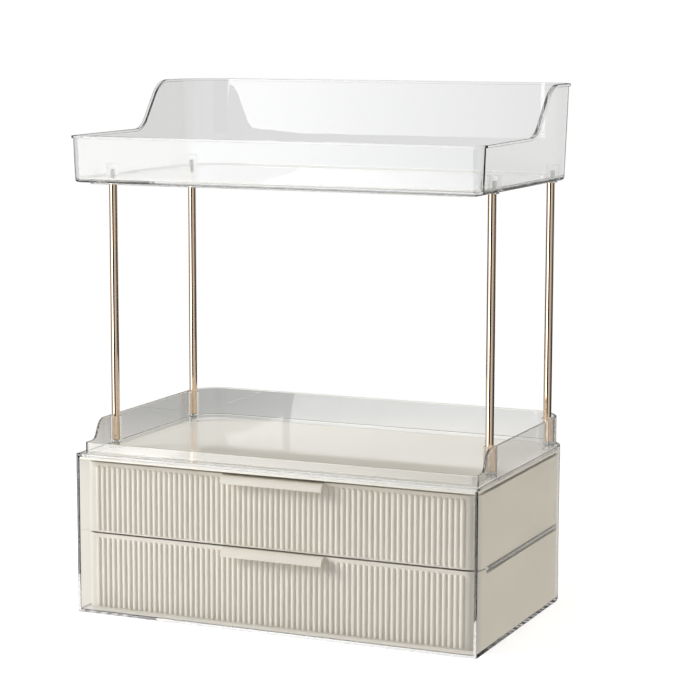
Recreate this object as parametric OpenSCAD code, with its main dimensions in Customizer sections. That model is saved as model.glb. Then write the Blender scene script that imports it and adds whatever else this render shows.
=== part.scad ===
// Two-tier vanity organiser, free standing.
// A clear open-fronted case holds two drawers, one above the other, parted by a bonded shelf.
// An opaque plate closes the case just below its rim, and the walls of a clear tray stand on the plate.
// Four metal rods carry a second clear tray above it.
// X runs left to right, Y from front to back and Z up. The origin is the middle of the base.

/* [Case] */
// Width of the case and of the upper tray's base, left to right
case_w = 316; // [260:1:380]
// Depth of the case and of the upper tray's base, front to back
case_d = 201; // [165:1:250]
// Height of the case
case_h = 120; // [100:1:160]
// Thickness of the case's clear walls, floor and front rail
case_wall = 2.5; // [2:0.1:4]
// Radius of the case's two rear corners, seen from above
case_rear_r = 28; // [12:1:38]
// Height of the shelf's upper face above the table
shelf_top = 60; // [50:1:75]
// Thickness of the shelf between the drawers
shelf_t = 2.5; // [2:0.1:4]

/* [Drawers] */
// How far the drawer fronts stand behind the case's front edge
front_recess = 7; // [5:0.5:14]
// Thickness of a drawer front, ribs included
front_t = 2.6; // [2.2:0.1:4]
// Outer radius of a drawer front's two rounded corners
front_corner_r = 8; // [5:0.5:14]
// Straight length of a front's side return behind its rounded corner
front_return = 8; // [1:0.5:12]
// Gap between a drawer and the case's side wall
side_gap = 0.8; // [0.4:0.1:1.5]
// Gap between a drawer and the floor that it slides on
run_gap = 0.3; // [0.2:0.05:0.6]
// Gap between the two drawer fronts
front_gap = 1.2; // [0.6:0.1:2.5]
// Gap between the upper drawer and the plate above it
head_gap = 2.6; // [1:0.1:6]
// Gap between the lower drawer's tub and the shelf
tub_head_gap = 2.3; // [1:0.1:5]
// Gap between a drawer's tub and the case's back
back_gap = 1; // [0.5:0.1:3]
// Gap between the fronts' side returns and the shelf's front edge
shelf_gap = 1; // [0.5:0.1:3]
// Thickness of a tub's walls
tub_wall = 2; // [1.5:0.1:3]
// Thickness of a tub's floor
tub_floor = 1.8; // [1.5:0.1:3]
// Diameter of the pegs that hold a front to its tub
peg_d = 5; // [3:0.5:8]
// Gap all round a peg in its hole
peg_fit = 0.05; // [0.03:0.01:0.1]

/* [Front ribs] */
// Distance from one rib to the next
rib_pitch = 4.3; // [3:0.1:8]
// How far the ribs stand out from the front's plain face
rib_h = 1.1; // [0.5:0.1:1.5]
// Height of the plain rim above the ribs
rib_top_rim = 2.4; // [1:0.1:5]
// Height of the plain rim below the ribs
rib_foot_rim = 0.8; // [0.5:0.1:4]

/* [Pulls] */
// Width of a pull
pull_w = 80; // [50:1:120]
// How far a pull reaches in front of its drawer front
pull_reach = 6.5; // [5:0.5:12]
// Height of a pull
pull_drop = 6; // [6:0.5:12]
// Thickness of a pull's bent lip
pull_t = 2; // [1.4:0.1:2.4]
// Outer radius of a pull's rounded nose
pull_nose_r = 5; // [3:0.5:5.5]

/* [Lower tray] */
// How far the lower tray stands inside the case's outer faces at the sides and back
tray_inset = 3; // [1:0.5:8]
// How far the lower tray stands behind the case's front edge
tray_front_inset = 6.5; // [1:0.5:14]
// Thickness of the lower tray's walls
tray_wall = 2; // [1.5:0.1:3]
// Outer radius of the lower tray's front corners
tray_front_r = 4; // [3.5:0.5:12]
// Height of the lower tray's front lip above the case's rim
lip_h = 7.3; // [6:0.1:12]
// Height of the lower tray's side and rear walls above the case's rim
tray_wall_h = 22; // [18:0.5:40]
// Distance from the lower tray's front to the foot of its side curves
tray_rise_at = 10.5; // [6:0.5:18]
// Radius at the foot of the lower tray's side curves
tray_foot_r = 7; // [3:0.5:9]
// Radius at the crown of the lower tray's side curves
tray_crown_r = 10; // [5:0.5:14]
// Slope of the lower tray's side curves
tray_slope = 62; // [45:1:75]
// Thickness of the opaque plate that closes the case and is the lower tray's floor
plate_t = 2; // [1.5:0.1:3]
// Distance from the case's front to the plate's front edge
plate_inset = 0.8; // [0.4:0.1:3]
// Depth of the groove in the plate that the lower tray's walls stand in
plate_groove = 0.4; // [0.2:0.1:0.8]
// Gap between the tray's walls or sleeves and the sides of the groove
plate_fit = 0.2; // [0.1:0.05:0.3]
// Gap between the case's front rail and the lower tray
rail_gap = 0.5; // [0.3:0.1:1]

/* [Rods and their fixings] */
// Diameter of a rod
rod_d = 6; // [5:0.5:7]
// Distance from the case's front to the front rods
rod_front_at = 45; // [36:1:70]
// Distance from the case's back to the rear rods
rod_rear_at = 29.5; // [27:0.5:60]
// Outer diameter of a rod's clear sleeve in the lower tray
sleeve_d = 9; // [8.5:0.5:12]
// Height of a sleeve's top above the case's rim
sleeve_h = 21.5; // [16:0.5:30]
// Bevel on a sleeve's top edge
sleeve_bevel = 0.6; // [0.3:0.1:0.8]
// How far a sleeve is sunk into the tray's side wall
sleeve_bite = 1; // [0.5:0.1:1.5]
// Gap all round a rod in its sleeve
rod_fit = 0.05; // [0.03:0.01:0.1]
// Depth of the screw's pocket in the tray's underside
pocket_h = 4.5; // [3.5:0.5:7]
// Thickness of the web between the screw's head and the rod
web_t = 2; // [1.5:0.1:4]
// Diameter of the screw's shank
screw_d = 3; // [2.5:0.5:3.5]
// Length of the screw's shank
screw_l = 10; // [7:0.5:16]
// Diameter of the screw's head
screw_head_d = 5.5; // [4.5:0.1:6]
// Height of the screw's head
screw_head_h = 2; // [1.4:0.1:3]
// Diameter of the threaded stud in a rod's top
stud_d = 3.5; // [2.5:0.1:4]
// Length of the stud inside the rod
stud_in_rod = 6; // [4:0.5:12]
// Length of the stud inside the upper tray
stud_in_tray = 9; // [5:0.5:14]
// Gap all round a screw or a stud in its hole
thread_fit = 0.05; // [0.03:0.01:0.1]

/* [Upper tray] */
// Clear height between the case's top and the upper tray's underside
tier_gap = 200; // [120:5:260]
// Height of the upper tray at its back
upper_h = 71; // [60:1:110]
// Height of the upper tray's front wall
upper_front_h = 33.8; // [20:0.2:40]
// How far the side walls' edge climbs before the curve
upper_side_rise = 0.8; // [0:0.1:4]
// Thickness of the upper tray's walls
upper_wall = 2; // [1.6:0.1:3]
// Thickness of the upper tray's floor
upper_floor_t = 2.5; // [1.5:0.1:4]
// Bevel along the upper tray's bottom edge
upper_bevel = 1.5; // [0.5:0.1:2]
// Outer radius of the upper tray's front corners
upper_front_r = 6; // [4:0.5:16]
// How far the upper tray's walls lean out at the top
upper_flare = 2.5; // [0:0.1:5]
// Distance from the case's front to the foot of the upper side curves
curve_at = 96.5; // [60:0.5:105]
// Radius at the foot of the upper side curves
curve_foot_r = 22.5; // [8:0.5:30]
// Radius at the crown of the upper side curves
curve_crown_r = 29.5; // [10:0.5:36]
// Slope of the upper side curves
curve_slope = 50; // [38:1:66]
// How far the rim's flange stands out from the wall
rim_w = 1.3; // [0.8:0.1:3]
// Thickness of the rim's flange
rim_t = 2; // [1:0.1:4]
// Height of the foot ring under the upper tray
foot_h = 1.5; // [1:0.1:3]
// Distance from the tray's edge to the foot ring
foot_inset = 8; // [5:0.5:14]
// Width of the foot ring
foot_w = 2; // [1.5:0.1:4]
// Outer diameter of the bosses that the rods are fixed to
boss_d = 9.5; // [8:0.5:12]
// Thickness of clear plastic over the stud's hole
boss_roof = 3.5; // [1:0.1:6]

/* [Hidden] */
CORNERS = ["front_left", "front_right", "rear_left", "rear_right"];

// Every cut runs this far past the surface that it opens
over = 1;
// Thickness of the thin slabs that a leaning wall is stretched between
slab_t = 0.01;
// Steps in each arc of a side curve
arc_steps = 14;
// Flats in each rib's arc
rib_steps = 8;
// Play kept at a rounded corner that fits inside another
corner_play = 0.3;
// Places of the pegs, as shares of a tub's half width and of its height
peg_side_share = 0.5;
peg_height_shares = [0.25, 0.75];
// Room past the end of a screw or a stud in its hole
end_room = 0.5;
// Room round a screw's head in its pocket
pocket_room = 0.35;
// Bevel on both ends of a rod
rod_bevel = 0.3;
// The cross recess in a screw's head
recess_l = 3.2;
recess_w = 0.8;
recess_h = 1;

// Inside faces of the case
bay_x = case_w / 2 - case_wall;
bay_back = case_d / 2 - case_wall;
bay_rear_r = case_rear_r - case_wall;

// Drawer fronts and tubs
drawer_x = bay_x - side_gap;
front_y = front_recess - case_d / 2;
face_y = front_y + rib_h;
return_y = front_y + front_corner_r + front_return;
tub_y = front_y + front_t;
tub_back = bay_back - back_gap;
neck_x = drawer_x - front_t;
shelf_y = return_y + shelf_gap;
rib_count = floor((drawer_x - front_corner_r) * 2 / rib_pitch);
rib_half = rib_pitch / 2;
rib_r = (rib_half * rib_half + rib_h * rib_h) / (2 * rib_h);
lower_z = case_wall + run_gap;
upper_z = shelf_top + run_gap;
lower_front_h = upper_z - front_gap - lower_z;
plate_top = case_h - case_wall;
tray_z = plate_top - plate_groove;
upper_front_panel_h = plate_top - plate_t - head_gap - upper_z;
lower_tub_h = shelf_top - shelf_t - tub_head_gap - lower_z;
upper_tub_h = upper_front_panel_h;

// Lower tray
tray_x = case_w / 2 - tray_inset;
tray_front = tray_front_inset - case_d / 2;
tray_back = case_d / 2 - tray_inset;
tray_rear_r = case_rear_r - tray_inset;

// Rods, from the sleeves' seats to the underside of the upper tray's foot
rod_x = tray_x - tray_wall + sleeve_bite - sleeve_d / 2;
rod_front_y = rod_front_at - case_d / 2;
rod_rear_y = case_d / 2 - rod_rear_at;
rod_at = [[-rod_x, rod_front_y], [rod_x, rod_front_y], [-rod_x, rod_rear_y], [rod_x, rod_rear_y]];
screw_seat = tray_z + pocket_h;
rod_foot = screw_seat + web_t;
tier_z = case_h + tier_gap;
rod_top = tier_z - foot_h;
tap_h = screw_l - web_t + end_room;

// Upper tray
top_z = tier_z + upper_h;
boss_top = rod_top + stud_in_tray + end_room + boss_roof;

$fn = 96;

// Outline seen from above, with its own radius at the front and at the rear corners
module plan(half_w, front, back, rear_r, front_r = 0) {
    translate([-half_w, front + front_r]) square([2 * half_w, back - rear_r - front - front_r]);
    translate([-half_w + rear_r, front + front_r]) square([2 * (half_w - rear_r), back - front - front_r]);
    if (front_r > 0) translate([-half_w + front_r, front]) square([2 * (half_w - front_r), front_r]);
    for (side = [-1, 1]) {
        translate([side * (half_w - rear_r), back - rear_r]) circle(r = rear_r);
        if (front_r > 0) translate([side * (half_w - front_r), front + front_r]) circle(r = front_r);
    }
}

// Top edge of a side wall, as points of Y and Z: a hollow arc, a straight slope and a crowned arc
function side_curve(start, low, high, foot_r, crown_r, slope) =
    let (
        climb = high - low - (foot_r + crown_r) * (1 - cos(slope)),
        crown_y = start + (foot_r + crown_r) * sin(slope) + climb / tan(slope)
    )
    concat(
        [for (i = [0 : arc_steps]) let (a = slope * i / arc_steps)
            [start + foot_r * sin(a), low + foot_r * (1 - cos(a))]],
        [for (i = [arc_steps : -1 : 0]) let (a = slope * i / arc_steps)
            [crown_y - crown_r * sin(a), high - crown_r * (1 - cos(a))]]
    );

// Turns an outline drawn in Y and Z into a solid across the whole width
module across(width) {
    translate([-width / 2, 0, 0]) rotate([90, 0, 90]) linear_extrude(width) children();
}

// Everything above a wall's top edge
module above(edge, front, front_z, back, top) {
    last = len(edge) - 1;
    polygon(concat([[front, top], [front, front_z]], edge, [[back, edge[last][1]], [back, top]]));
}

module case_shell() {
    color([0.90, 0.92, 0.92, 0.35])
    difference() {
        linear_extrude(case_h) plan(case_w / 2, -case_d / 2, case_d / 2, case_rear_r);
        translate([0, 0, case_wall]) linear_extrude(plate_top - case_wall)
            plan(bay_x, -case_d / 2 - over, bay_back, bay_rear_r);
        translate([0, 0, case_wall + over]) linear_extrude(case_h)
            plan(bay_x, tray_front - rail_gap, bay_back, bay_rear_r);
    }
}

module mid_shelf() {
    color([0.90, 0.92, 0.92, 0.35])
    translate([0, 0, shelf_top - shelf_t]) linear_extrude(shelf_t)
        plan(bay_x, shelf_y, bay_back, bay_rear_r + corner_play);
}

// Places of a front's four pegs
module at_pegs(tub_h) {
    for (side = [-1, 1]) for (height_share = peg_height_shares)
        translate([side * neck_x * peg_side_share, 0, tub_h * height_share]) children();
}

// A drawer's tub: wide behind the front's returns and narrower between them
module tub(h) {
    rear_r = bay_rear_r;
    neck_r = front_corner_r - front_t + corner_play;
    difference() {
        union() {
            linear_extrude(h) plan(neck_x, tub_y, tub_back, rear_r, neck_r);
            linear_extrude(h) plan(drawer_x, return_y, tub_back, rear_r);
        }
        translate([0, 0, tub_floor]) linear_extrude(h)
            plan(neck_x - tub_wall, tub_y + tub_wall, tub_back - tub_wall, rear_r - tub_wall, neck_r / 2);
        translate([0, 0, tub_floor]) linear_extrude(h)
            plan(drawer_x - tub_wall, return_y + tub_wall, tub_back - tub_wall, rear_r - tub_wall);
        at_pegs(h) translate([0, tub_y + tub_wall + over, 0]) rotate([90, 0, 0])
            cylinder(d = peg_d + 2 * peg_fit, h = tub_wall + 2 * over);
    }
}

// The row of ribs, as one outline seen from above, rooted half way into the front
module rib_row() {
    start = -rib_count * rib_half;
    root_y = (face_y + tub_y) / 2;
    polygon(concat(
        [[start, root_y]],
        [for (i = [0 : rib_count - 1]) for (k = [0 : rib_steps]) let (t = (k / rib_steps - 0.5) * rib_pitch)
            [start + (i + 0.5) * rib_pitch + t, front_y + rib_r - sqrt(rib_r * rib_r - t * t)]],
        [[-start, root_y]]
    ));
}

// Half of a pull's outline, flat on top and rounded at its nose, reaching towards the front
module nose(reach, drop, r) {
    translate([r - reach, 0]) square([reach - r, drop]);
    translate([-reach, 0]) square([reach, drop - r]);
    translate([r - reach, drop - r]) circle(r = r);
}

// The bent lip that opens a drawer, open underneath
module pull() {
    reach = pull_reach + rib_h;
    across(pull_w) difference() {
        translate([face_y, -pull_drop]) intersection() {
            nose(reach, pull_drop, pull_nose_r);
            translate([-reach, 0]) square([reach, pull_drop]);
        }
        translate([face_y, -pull_drop - over])
            nose(reach - pull_t, pull_drop - pull_t + over, pull_nose_r - pull_t);
    }
}

// A ribbed front with its pull, its side returns and the pegs that enter the tub
module drawer_front(h, tub_h) {
    inner_r = front_corner_r - front_t;
    linear_extrude(h) difference() {
        plan(drawer_x, face_y, return_y + front_corner_r, front_corner_r, front_corner_r);
        plan(neck_x, tub_y, return_y + front_corner_r + over, inner_r, inner_r);
        translate([-drawer_x - over, return_y]) square([2 * (drawer_x + over), front_corner_r + over]);
    }
    translate([0, 0, rib_foot_rim]) linear_extrude(h - rib_foot_rim - rib_top_rim) rib_row();
    translate([0, 0, h]) pull();
    at_pegs(tub_h) translate([0, tub_y + tub_wall, 0]) rotate([90, 0, 0])
        cylinder(d = peg_d, h = tub_wall + (front_t - rib_h) / 2);
}

module lower_drawer_tub() {
    color([0.93, 0.91, 0.86]) translate([0, 0, lower_z]) tub(lower_tub_h);
}

module lower_drawer_front() {
    color([0.92, 0.90, 0.84]) translate([0, 0, lower_z]) drawer_front(lower_front_h, lower_tub_h);
}

module upper_drawer_tub() {
    color([0.93, 0.91, 0.86]) translate([0, 0, upper_z]) tub(upper_tub_h);
}

module upper_drawer_front() {
    color([0.92, 0.90, 0.84]) translate([0, 0, upper_z]) drawer_front(upper_front_panel_h, upper_tub_h);
}

// The lower tray's walls, with a sleeve for each rod moulded onto them, standing in the plate's groove
module lower_tray() {
    low = case_h + lip_h;
    high = case_h + tray_wall_h;
    edge = side_curve(tray_front + tray_rise_at, low, high, tray_foot_r, tray_crown_r, tray_slope);
    color([0.90, 0.92, 0.92, 0.35])
    difference() {
        union() {
            difference() {
                translate([0, 0, tray_z]) linear_extrude(high - tray_z)
                    plan(tray_x, tray_front, tray_back, tray_rear_r, tray_front_r);
                translate([0, 0, tray_z - over]) linear_extrude(high)
                    plan(tray_x - tray_wall, tray_front + tray_wall, tray_back - tray_wall,
                        tray_rear_r - tray_wall, tray_front_r - tray_wall);
                across(2 * case_w) above(edge, tray_front - over, low, tray_back + over, high + over);
            }
            for (at = rod_at) translate([at[0], at[1], 0]) {
                translate([0, 0, tray_z]) cylinder(d = sleeve_d, h = case_h + sleeve_h - sleeve_bevel - tray_z);
                translate([0, 0, case_h + sleeve_h - sleeve_bevel])
                    cylinder(d1 = sleeve_d, d2 = sleeve_d - 2 * sleeve_bevel, h = sleeve_bevel);
            }
        }
        for (at = rod_at) translate([at[0], at[1], 0]) {
            translate([0, 0, rod_foot]) cylinder(d = rod_d + 2 * rod_fit, h = sleeve_h + over);
            translate([0, 0, tray_z]) cylinder(d = screw_d + 2 * thread_fit, h = sleeve_h);
            translate([0, 0, tray_z - over])
                cylinder(d = screw_head_d + 2 * pocket_room, h = pocket_h + over);
        }
    }
}

// The opaque plate that closes the case below its rim and is the lower tray's floor, grooved for the walls
module tray_floor_plate() {
    reach = tray_wall + plate_fit;
    color([0.95, 0.93, 0.88])
    difference() {
        translate([0, 0, plate_top - plate_t]) linear_extrude(plate_t)
            plan(bay_x, plate_inset - case_d / 2, bay_back, bay_rear_r + corner_play);
        translate([0, 0, tray_z]) linear_extrude(plate_groove + over) difference() {
            plan(case_w / 2, tray_front - plate_fit, case_d / 2, case_rear_r);
            difference() {
                plan(tray_x - reach, tray_front + reach, tray_back - reach,
                    tray_rear_r - reach, tray_front_r - tray_wall);
                for (at = rod_at) translate(at) circle(d = sleeve_d + 2 * plate_fit);
            }
        }
    }
}

// A thin slab of the upper tray's outline at one height, grown outwards on every side
module slab(z, grow) {
    translate([0, 0, z]) linear_extrude(slab_t)
        plan(case_w / 2 + grow, -case_d / 2 - grow, case_d / 2 + grow,
            case_rear_r + grow, upper_front_r + grow, $fn = 64);
}

// Outline of the foot ring, inside or outside
module foot_outline(inset, front_r) {
    plan(case_w / 2 - inset, inset - case_d / 2, case_d / 2 - inset, case_rear_r - inset, front_r);
}

// The upper tray: leaning walls, a flanged rim that follows the side curves, a foot ring and four bosses
module upper_tray() {
    low = tier_z + upper_front_h;
    start = curve_at - case_d / 2;
    edge = side_curve(start, low + upper_side_rise, top_z, curve_foot_r, curve_crown_r, curve_slope);
    under = side_curve(start, low + upper_side_rise - rim_t, top_z - rim_t,
        curve_foot_r + rim_t, curve_crown_r - rim_t, curve_slope);
    front = -case_d;
    back = case_d;
    last = arc_steps * 2 + 1;
    color([0.92, 0.93, 0.93, 0.35])
    difference() {
        union() {
            hull() {
                slab(tier_z, -upper_bevel);
                slab(tier_z + upper_bevel, 0);
                slab(top_z, upper_flare);
            }
            intersection() {
                hull() {
                    slab(tier_z + upper_bevel, rim_w);
                    slab(top_z, upper_flare + rim_w);
                }
                across(2 * case_w) polygon(concat(
                    [[front, low]], edge, [[back, top_z], [back, top_z - rim_t]],
                    [for (i = [last : -1 : 0]) under[i]], [[front, low - rim_t]]
                ));
            }
            translate([0, 0, rod_top]) linear_extrude(foot_h + upper_bevel) difference() {
                foot_outline(foot_inset, upper_front_r);
                foot_outline(foot_inset + foot_w, upper_front_r - foot_w);
            }
            for (at = rod_at) translate([at[0], at[1], rod_top])
                cylinder(d = boss_d, h = foot_h + upper_bevel);
        }
        difference() {
            hull() {
                slab(tier_z + upper_floor_t, -upper_wall);
                slab(top_z + over, upper_flare - upper_wall);
            }
            for (at = rod_at) translate([at[0], at[1], rod_top]) cylinder(d = boss_d, h = boss_top - rod_top);
        }
        across(2 * case_w) above(edge, front, low, back, top_z + 2 * over);
        for (at = rod_at) translate([at[0], at[1], rod_top - over])
            cylinder(d = stud_d + 2 * thread_fit, h = over + stud_in_tray + end_room);
    }
}

// A rod, tapped at its foot for the screw and at its top for the stud
module rod(i) {
    h = rod_top - rod_foot;
    color([0.80, 0.66, 0.52])
    translate([rod_at[i][0], rod_at[i][1], rod_foot]) difference() {
        union() {
            cylinder(d1 = rod_d - 2 * rod_bevel, d2 = rod_d, h = rod_bevel);
            translate([0, 0, rod_bevel]) cylinder(d = rod_d, h = h - 2 * rod_bevel);
            translate([0, 0, h - rod_bevel]) cylinder(d1 = rod_d, d2 = rod_d - 2 * rod_bevel, h = rod_bevel);
        }
        translate([0, 0, -over]) cylinder(d = screw_d + 2 * thread_fit, h = tap_h + over);
        translate([0, 0, h - stud_in_rod - end_room])
            cylinder(d = stud_d + 2 * thread_fit, h = stud_in_rod + end_room + over);
    }
}

// The threaded stud that joins a rod to the upper tray
module rod_stud(i) {
    color([0.72, 0.72, 0.70])
    translate([rod_at[i][0], rod_at[i][1], rod_top - stud_in_rod])
        cylinder(d = stud_d, h = stud_in_rod + stud_in_tray);
}

// The screw that holds a rod down, its head up inside the sleeve's pocket
module rod_screw(i) {
    color([0.72, 0.72, 0.70])
    translate([rod_at[i][0], rod_at[i][1], screw_seat]) {
        cylinder(d = screw_d, h = screw_l);
        translate([0, 0, -screw_head_h]) difference() {
            cylinder(d = screw_head_d, h = screw_head_h);
            for (turn = [0, 90]) rotate([0, 0, turn])
                translate([-recess_l / 2, -recess_w / 2, recess_h - screw_head_h])
                    cube([recess_l, recess_w, screw_head_h]);
        }
    }
}

case_shell();
mid_shelf();
lower_drawer_tub();
lower_drawer_front();
upper_drawer_tub();
upper_drawer_front();
lower_tray();
tray_floor_plate();
upper_tray();
for (i = [0 : len(CORNERS) - 1]) {
    rod(i);
    rod_stud(i);
    rod_screw(i);
}
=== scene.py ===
import math

import bmesh
import bpy
from mathutils import Matrix, Vector


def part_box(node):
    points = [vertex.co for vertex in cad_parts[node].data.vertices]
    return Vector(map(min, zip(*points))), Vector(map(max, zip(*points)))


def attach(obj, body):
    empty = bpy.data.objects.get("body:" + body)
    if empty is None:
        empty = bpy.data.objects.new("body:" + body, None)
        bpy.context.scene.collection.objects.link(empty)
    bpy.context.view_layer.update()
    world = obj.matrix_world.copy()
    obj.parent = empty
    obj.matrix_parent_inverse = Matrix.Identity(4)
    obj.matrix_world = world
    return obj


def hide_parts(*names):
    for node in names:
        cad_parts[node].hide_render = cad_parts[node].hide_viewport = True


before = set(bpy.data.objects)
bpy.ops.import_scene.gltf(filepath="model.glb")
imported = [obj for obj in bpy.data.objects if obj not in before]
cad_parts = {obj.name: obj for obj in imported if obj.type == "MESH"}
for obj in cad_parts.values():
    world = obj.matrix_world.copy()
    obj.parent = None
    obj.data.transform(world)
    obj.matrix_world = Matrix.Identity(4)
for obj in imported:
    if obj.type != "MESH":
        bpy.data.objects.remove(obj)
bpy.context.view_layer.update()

# The case is a clear moulded box, open at the front and the top, that holds both drawers.
# It is injection-moulded in one piece with softly rounded edges, two large rear corners and a front rail.
# A shelf of the same plastic is bonded across it and carries the upper drawer.
MM = 0.001
case_edge = 0.55 * MM
shelf_edge = 0.35 * MM
bond_line = 0.04 * MM
clear_ior = 1.5
clear_face_tint = (0.985, 0.99, 0.988, 1.0)
# Painted shade: walls seen at a slant get this grey, in place of the darker surroundings that they mirror.
clear_slant_painted_shade = (0.84, 0.83, 0.81, 1.0)
clear_shadow_tint = (0.9, 0.91, 0.91, 1.0)
clear_slant = (0.15, 0.62)
clear_roughness = (0.0, 0.025)
curve_angle = math.radians(38)
flat_angle = math.radians(0.3)
weld = 0.001 * MM


def rebuilt(name, *nodes):
    """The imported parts' loose triangles, merged, with each flat face whole again."""
    shell = bmesh.new()
    for node in nodes:
        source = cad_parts[node].data
        corners = [shell.verts.new(v.co) for v in source.vertices]
        for face in source.polygons:
            shell.faces.new([corners[i] for i in face.vertices])
    bmesh.ops.remove_doubles(shell, verts=shell.verts, dist=weld)
    bmesh.ops.dissolve_limit(shell, angle_limit=flat_angle, verts=shell.verts, edges=shell.edges)
    return piece_from(shell, name)


def piece_from(shell, name):
    """A linked object made from a bmesh, with its faces turned outwards."""
    bmesh.ops.recalc_face_normals(shell, faces=shell.faces)
    mesh = bpy.data.meshes.new(name)
    shell.to_mesh(mesh)
    shell.free()
    piece = bpy.data.objects.new(name, mesh)
    bpy.context.scene.collection.objects.link(piece)
    return piece


def settle(piece):
    """Turns a piece's modifiers into plain mesh."""
    bpy.context.view_layer.update()
    ready = piece.evaluated_get(bpy.context.evaluated_depsgraph_get())
    mesh = bpy.data.meshes.new_from_object(ready)
    mesh.name = piece.name
    piece.modifiers.clear()
    piece.data = mesh
    return piece


def round_edges(piece, width, steps=3):
    """Rounds every corner sharper than a curve's own facets, as a mould leaves it."""
    for face in piece.data.polygons:
        face.use_smooth = True
    bevel = piece.modifiers.new("rounded edges", "BEVEL")
    bevel.width = width
    bevel.segments = steps
    bevel.limit_method = "ANGLE"
    bevel.angle_limit = curve_angle
    bevel.harden_normals = True
    return settle(piece)


def finish_piece(piece, body, slot, material, *nodes):
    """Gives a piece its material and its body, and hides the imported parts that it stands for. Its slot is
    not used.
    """
    piece.data.materials.clear()
    piece.data.materials.append(material)
    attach(piece, body)
    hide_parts(*nodes)
    return piece


def fill(tree, socket, value):
    """Sets a node's input to a value, or links it to another node's socket."""
    if isinstance(value, bpy.types.NodeSocket):
        tree.links.new(value, socket)
    else:
        socket.default_value = value


def shader_node(tree, kind, **values):
    """A node whose inputs are set by name, from a value or from another node's socket."""
    node = tree.nodes.new(kind)
    for key, value in values.items():
        target = node.inputs.get(key.replace("_", " "))
        if target is None:
            setattr(node, key, value)
        else:
            fill(tree, target, value)
    return node


def moulded_surface_group():
    """Slow clouds and a fine grain, which every finish uses at its own scale."""
    group = bpy.data.node_groups.new("moulded_surface", "ShaderNodeTree")
    face = group.interface
    face.new_socket("Vector", in_out="INPUT", socket_type="NodeSocketVector")
    face.new_socket("Cloud Scale", in_out="INPUT", socket_type="NodeSocketFloat")
    face.new_socket("Grain Scale", in_out="INPUT", socket_type="NodeSocketFloat")
    face.new_socket("Clouds", in_out="OUTPUT", socket_type="NodeSocketFloat")
    face.new_socket("Grain", in_out="OUTPUT", socket_type="NodeSocketFloat")
    given = group.nodes.new("NodeGroupInput")
    put_out = group.nodes.new("NodeGroupOutput")
    clouds = shader_node(group, "ShaderNodeTexNoise", Vector=given.outputs["Vector"],
                         Scale=given.outputs["Cloud Scale"], Detail=3.0, Roughness=0.55)
    grain = shader_node(group, "ShaderNodeTexNoise", Vector=given.outputs["Vector"],
                        Scale=given.outputs["Grain Scale"], Detail=2.0, Roughness=0.5)
    group.links.new(clouds.outputs["Fac"], put_out.inputs["Clouds"])
    group.links.new(grain.outputs["Fac"], put_out.inputs["Grain"])
    return group


moulded_surface = moulded_surface_group()


def material_with_surface(name, cloud_scale, grain_scale, stretch=(1.0, 1.0, 1.0)):
    """A new material's tree, its output and the clouds and grain of its surface."""
    material = bpy.data.materials.new(name)
    material.use_nodes = True
    tree = material.node_tree
    tree.nodes.clear()
    output = tree.nodes.new("ShaderNodeOutputMaterial")
    place = tree.nodes.new("ShaderNodeTexCoord")
    spread = shader_node(tree, "ShaderNodeMapping", Vector=place.outputs["Object"], Scale=stretch)
    surface = tree.nodes.new("ShaderNodeGroup")
    surface.node_tree = moulded_surface
    tree.links.new(spread.outputs["Vector"], surface.inputs["Vector"])
    surface.inputs["Cloud Scale"].default_value = cloud_scale
    surface.inputs["Grain Scale"].default_value = grain_scale
    return material, tree, output, surface


def ranged(tree, value, low, high, start=0.3, end=0.7):
    """A mask spread over a new range of values."""
    node = shader_node(tree, "ShaderNodeMapRange", Value=value)
    node.inputs["From Min"].default_value = start
    node.inputs["From Max"].default_value = end
    node.inputs["To Min"].default_value = low
    node.inputs["To Max"].default_value = high
    return node.outputs["Result"]


def blended(tree, mask, first, second):
    """Two colours mixed by a mask, each given as a value or as a node's socket."""
    node = tree.nodes.new("ShaderNodeMix")
    node.data_type = "RGBA"
    tree.links.new(mask, node.inputs[0])
    fill(tree, node.inputs[6], first)
    fill(tree, node.inputs[7], second)
    return node.outputs[2]


def raised(tree, height, strength, distance):
    """A bump normal from a height mask."""
    node = shader_node(tree, "ShaderNodeBump", Height=height, Strength=strength, Distance=distance)
    return node.outputs["Normal"]


def either_shader(tree, mask, first, second):
    """One shader where a mask is nought, and another where it is one."""
    node = tree.nodes.new("ShaderNodeMixShader")
    tree.links.new(mask, node.inputs[0])
    tree.links.new(first.outputs[0], node.inputs[1])
    tree.links.new(second.outputs[0], node.inputs[2])
    return node


def clear_plastic_material():
    """Clear acrylic with painted shade that greys it where it is seen at a slant, and that lets lamps shine
    through it.
    """
    material, tree, output, surface = material_with_surface("clear_plastic", 18.0, 700.0)
    slant = shader_node(tree, "ShaderNodeLayerWeight", Blend=0.5)
    side = ranged(tree, slant.outputs["Facing"], 0.0, 1.0, *clear_slant)
    plastic = tree.nodes.new("ShaderNodeBsdfPrincipled")
    plastic.inputs["IOR"].default_value = clear_ior
    plastic.inputs["Transmission Weight"].default_value = 1.0
    # Painted shade: the colour turns grey where the wall is seen at a slant.
    tree.links.new(blended(tree, side, clear_face_tint, clear_slant_painted_shade), plastic.inputs["Base Color"])
    tree.links.new(ranged(tree, surface.outputs["Clouds"], *clear_roughness), plastic.inputs["Roughness"])
    tree.links.new(raised(tree, surface.outputs["Clouds"], 0.06, 0.2 * MM), plastic.inputs["Normal"])
    light_path = tree.nodes.new("ShaderNodeLightPath")
    through = shader_node(tree, "ShaderNodeBsdfTransparent", Color=clear_shadow_tint)
    either = either_shader(tree, light_path.outputs["Is Shadow Ray"], plastic, through)
    tree.links.new(either.outputs[0], output.inputs["Surface"])
    return material


clear_plastic = clear_plastic_material()

case = round_edges(rebuilt("case_clear", "case_shell"), case_edge)
finish_piece(case, "root", "clear_plastic", clear_plastic, "case_shell")


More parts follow.
